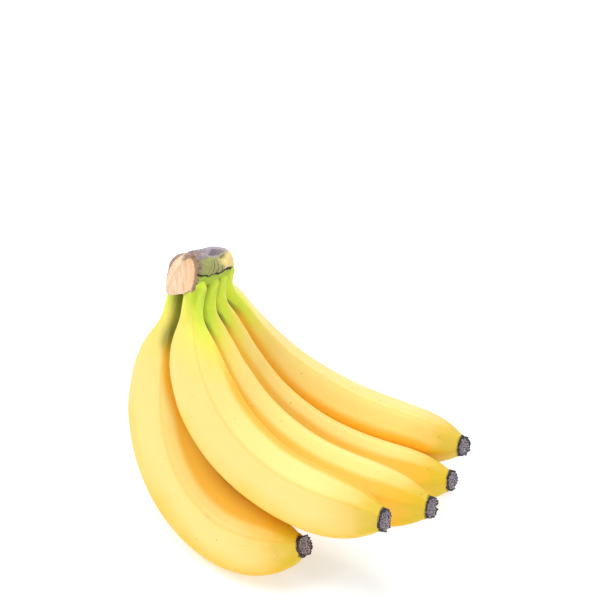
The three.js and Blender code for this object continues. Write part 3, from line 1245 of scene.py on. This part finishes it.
@dataclass(frozen=True)
class CrownFinish:
    """The crown: a tan fibrous cut, olive ribbed sides, a dry grey top and a dark seam.

    Attributes:
        cut_pale: the cut flesh.
        cut_tan: its fibres and its warmer right side.
        bark: the dried skin round the cut.
        olive: between the folds of its side.
        green: on the folds.
        fresh: under the seam.
        dry: the dry cap, with patches of ash.
        straw: its right end and its pale crumbs.
        seam: the seam above the necks.
        roughness: all over.
        relief: depth of its fine relief.
        streak_scale: cells in a metre of the cut's fibres, across them.
        coarse_scale: cells in a metre of its patches.
        fine_scale: cells in a metre of its crumbs.
    """

    cut_pale: Colour = (0.96, 0.71, 0.49)
    cut_tan: Colour = (0.86, 0.50, 0.25)
    bark: Colour = (0.25, 0.14, 0.085)
    olive: Colour = (0.20, 0.19, 0.08)
    green: Colour = (0.38, 0.38, 0.12)
    fresh: Colour = (0.42, 0.56, 0.05)
    dry: Colour = (0.42, 0.35, 0.40)
    ash: Colour = (0.20, 0.17, 0.20)
    straw: Colour = (0.84, 0.66, 0.26)
    seam: Colour = (0.030, 0.022, 0.014)
    roughness: float = 0.8
    relief: float = 0.0005
    streak_scale: float = 900.0
    coarse_scale: float = 190.0
    fine_scale: float = 1100.0

    def skin(self, s: Sketch, aside: Socket, coarse: Socket, fine: Socket) -> Socket:
        """Colours the crown's side, its dry cap, the dried skin by the cut and the seam.

        Args:
            s: the material's nodes.
            aside: place from left to right in the hanging frame.
            coarse: a cloudy pattern.
            fine: a much finer one.

        Returns:
            The colour.
        """
        strayed = s.shifted(aside, coarse, 0.010)
        colour = s.mix(s.fade(s.read("folds"), -0.9, 0.2), self.olive, self.green)
        colour = s.mix(s.fade(strayed, 0.0115, 0.0145), colour, self.straw)
        cap = s.mix(s.fade(coarse, 0.46, 0.62), self.dry, self.ash)
        colour = s.mix(s.fade(s.shifted(s.read("up"), coarse, 0.5), 0.45, 0.72), colour, cap)
        by_cut = s.fade(s.read("along"), 0.45, 0.60, 1.0, 0.0)
        dried = s.times(s.fade(strayed, -0.0020, 0.0005, 1.0, 0.0), by_cut)
        colour = s.mix(dried, colour, s.mix(s.fade(fine, 0.48, 0.62), self.bark, self.dry))
        colour = s.mix(s.times(s.fade(fine, 0.55, 0.70), 0.35), colour, self.straw)
        colour = s.mix(s.read("under"), colour, self.fresh)
        seam = s.fade(s.shifted(s.read("seam"), fine, 1.4), 0.30, 0.75)
        return s.mix(seam, colour, self.seam)

    def face(self, s: Sketch, aside: Socket, streaks: Socket, fine: Socket) -> Socket:
        """Colours the cut flesh and its ragged edge.

        Args:
            s: the material's nodes.
            aside: place from left to right in the hanging frame.
            streaks: a pattern of fibres.
            fine: a fine cloudy pattern.

        Returns:
            The colour.
        """
        colour = s.mix(s.fade(streaks, 0.40, 0.70), self.cut_pale, self.cut_tan)
        colour = s.mix(s.times(s.fade(aside, -0.0135, -0.0060), 0.55), colour, self.cut_tan)
        ragged = s.shifted(s.read("rim"), fine, 0.45)
        ragged = s.plus(ragged, s.fade(s.read("up"), -0.9, 0.9, -0.06, 0.06))
        ragged = s.plus(ragged, s.fade(aside, -0.0075, -0.0035, 0.0, 0.32))
        return s.mix(s.fade(ragged, 0.90, 1.05, 0.0, 0.8), colour, self.bark)

    def material(self) -> Material:
        """Makes the material.

        Returns:
            The crown's finish.
        """
        s = Sketch("crown_cut")
        place = s.read("hanging", vector=True)
        aside = s.node("ShaderNodeSeparateXYZ", {"Vector": place}).outputs["X"]
        streaks = s.noise(s.stretched(place, 0.12), self.streak_scale, 4.0)
        coarse = s.noise(place, self.coarse_scale, 4.0)
        fine = s.noise(place, self.fine_scale, 4.0)
        skin, face = self.skin(s, aside, coarse, fine), self.face(s, aside, streaks, fine)
        s.feed(s.shader.inputs["Base Color"], s.mix(s.read("cut"), skin, face))
        s.set(Roughness=self.roughness)
        s.bump(s.plus(streaks, s.times(fine, 0.5)), self.relief)
        return s.material


@dataclass(frozen=True)
class FloorFinish:
    """A plain pale floor with a faint glow of its own, like a light table: painted light, which lifts
    its shadows and lights the fruit from below.

    Attributes:
        white: a white cool enough to even out the yellow light from the fruit.
        glow: strength of its own painted light.
        roughness: all over.
        specular: how glossy it is.
    """

    white: Colour = (0.82, 0.90, 1.0)
    glow: float = 0.36
    roughness: float = 0.7
    specular: float = 0.2

    def material(self) -> Material:
        """Makes the material.

        Returns:
            The floor's finish.
        """
        s = Sketch("floor")
        s.set(Base_Color=(*self.white, 1.0), Roughness=self.roughness)
        s.set(Specular_IOR_Level=self.specular)
        # painted light: the floor glows, which lifts its shadows and lights the fruit from below
        s.set(Emission_Color=(*self.white, 1.0), Emission_Strength=self.glow)
        return s.material


@dataclass
class Bunch:
    """The crown with its bananas.

    Attributes:
        laying: how it lies.
        front: the way that the faces of the dry ends lean, in the hanging frame.
        bananas: the front row from left to right, but for banana_6, which is behind it.
    """

    laying: Laying = Laying()
    front: Point = (0.0, -0.94, 0.34)
    bananas: Sequence[Banana] = (
        Banana(
            number=1, at=(-0.014, 0.009, -0.004), fan=-11, start=-12.9, finish=106.7,
            length=0.2200, late=0.78, swing=-1, fuller=0.0026, turn=-6,
            green=0.009, green_side=60, painted_shade_side=-6, painted_nook_shade=0.042, stub=0.87,
        ),
        Banana(
            number=2, at=(-0.003, -0.006, 0.005), fan=-12.9, start=-9.2, finish=90,
            length=0.2098, late=-0.26, swing=4.4, turn=-12,
            green=0.021, green_side=0, painted_shade_side=-43,
        ),
        Banana(
            number=3, at=(0.004, 0.004, 0.005), fan=1.8, start=-15.2, finish=88.2,
            length=0.2284, late=-0.59, swing=3.6, turn=-6,
            green=0.036, green_side=110, painted_shade_side=82,
        ),
        Banana(
            number=4, at=(0.008, 0.015, 0.004), fan=17.1, start=-13.7, finish=91.2,
            length=0.2427, late=-0.18, swing=8.6, turn=-4,
            green=0.038, green_side=110, painted_shade_side=70,
        ),
        Banana(
            number=5, at=(0.012, 0.027, 0.003), fan=31.5, start=-24.6, finish=87.6,
            length=0.2427, late=-0.45, swing=-0.5, turn=-2,
            green=0.040, green_side=80, painted_shade_side=118,
        ),
        Banana(
            number=6, at=(-0.009, 0.022, -0.004), fan=13.1, start=-33.7, finish=97.1,
            length=0.1903, late=0.46, swing=-18.3,
            green=0.030, green_side=90,
        ),
    )

    def build(self) -> None:
        """Grows every banana, then makes the skins, the blossom ends and the crown."""
        peel, dry = PeelFinish().material(), DryFinish().material()
        for banana in self.bananas:
            banana.grow(self.laying)
        for banana in self.bananas:
            others = [other for other in self.bananas if other is not banana]
            banana.build(others, peel)
            banana.build_end(dry, self.laying.directions(np.array(self.front)))
        Crown().build(self.laying, CrownFinish().material())


@dataclass(frozen=True)
class SoftBox:
    """One round soft light: its name, its place, its width and its power in watts."""

    name: str
    place: Point
    wide: float
    power: float


@dataclass
class Studio:
    """The floor, the soft lights and the camera.

    Attributes:
        laying: the camera is told in the hanging frame, and laid with the bunch.
        down: how far the camera looks down in the hanging frame, in degrees.
        distance: from the camera to the crown.
        focal_pixels: focal length for the picture's width in pixels.
        picture: the picture's width and height in pixels.
        sensor: width of the camera's sensor in millimetres.
        crown_pixel: where the crown's origin falls in the picture.
        far_end: how far the camera sees.
        floor_reach: from the part's origin to each side of the floor.
        surround: strength of the even white light from all sides.
        target: the place that the soft boxes face.
        boxes: the soft boxes.
    """

    laying: Laying = Laying()
    down: float = 20.0
    distance: float = 1.0
    focal_pixels: float = 1650.0
    picture: int = 600
    sensor: float = 36.0
    crown_pixel: tuple[float, float] = (203.0, 284.0)
    far_end: float = 50.0
    floor_reach: float = 6.0
    surround: float = 0.51
    target: Point = (0.0, 0.0, 0.08)
    boxes: Sequence[SoftBox] = (
        SoftBox("key", (-0.90, -0.22, 1.55), 1.15, 14.5),
        SoftBox("back", (0.35, 0.9, 1.5), 0.9, 13.0),
        SoftBox("fill", (0.60, -1.10, 0.75), 0.9, 3.8),
    )

    def camera(self) -> None:
        """Makes the camera at the picture's viewing angle."""
        down = math.radians(self.down)
        right = Vector((1, 0, 0))
        up = Vector((0, math.sin(down), math.cos(down)))
        ahead = Vector((0, math.cos(down), -math.sin(down)))
        middle = self.picture / 2
        aside = (self.crown_pixel[0] - middle) / self.focal_pixels
        above = (self.crown_pixel[1] - middle) / self.focal_pixels
        place = -self.distance * (ahead + right * aside - up * above)
        hanging = Matrix((right, up, -ahead)).transposed().to_4x4()
        hanging.translation = place
        data = bpy.data.cameras.new("camera")
        data.sensor_width = self.sensor
        data.lens = self.focal_pixels / self.picture * self.sensor
        data.clip_end = self.far_end
        made = bpy.data.objects.new("camera", data)
        made.matrix_world = self.laying.matrix() @ hanging
        bpy.context.scene.collection.objects.link(made)
        bpy.context.scene.camera = made

    def floor(self) -> None:
        """Makes a plain pale floor, larger than any view of the bunch."""
        mesh = bpy.data.meshes.new("floor")
        reach = self.floor_reach
        corners = [(x, y, 0.0) for x, y in (
            (-reach, -reach), (reach, -reach), (reach, reach), (-reach, reach),
        )]
        mesh.from_pydata(corners, [], [(0, 1, 2, 3)])
        mesh.materials.append(FloorFinish().material())
        made = bpy.data.objects.new("floor", mesh)
        bpy.context.scene.collection.objects.link(made)

    def light(self, box: SoftBox) -> None:
        """Makes one soft box that faces the bunch.

        Args:
            box: its name, place, width and power.
        """
        data = bpy.data.lights.new(box.name, "AREA")
        data.shape, data.size, data.energy = "DISK", box.wide, box.power
        made = bpy.data.objects.new(box.name, data)
        made.location = box.place
        made.rotation_mode = "QUATERNION"
        towards = Vector(self.target) - Vector(box.place)
        made.rotation_quaternion = towards.to_track_quat("-Z", "Y")
        bpy.context.scene.collection.objects.link(made)

    def world(self) -> None:
        """Surrounds the scene with even white light."""
        world = bpy.data.worlds.new("studio")
        world.use_nodes = True
        background = world.node_tree.nodes["Background"]
        background.inputs["Color"].default_value = (1.0, 1.0, 1.0, 1.0)
        background.inputs["Strength"].default_value = self.surround
        bpy.context.scene.world = world
        bpy.context.scene.view_settings.view_transform = "Standard"

    def build(self) -> None:
        """Makes the whole studio."""
        self.camera()
        self.floor()
        self.world()
        for box in self.boxes:
            self.light(box)


def main() -> None:
    """Builds the bunch, then the studio round it."""
    logging.basicConfig(level=logging.INFO, format="%(name)s: %(message)s")
    Bunch().build()
    Studio().build()


if __name__ == "__main__":
    main()
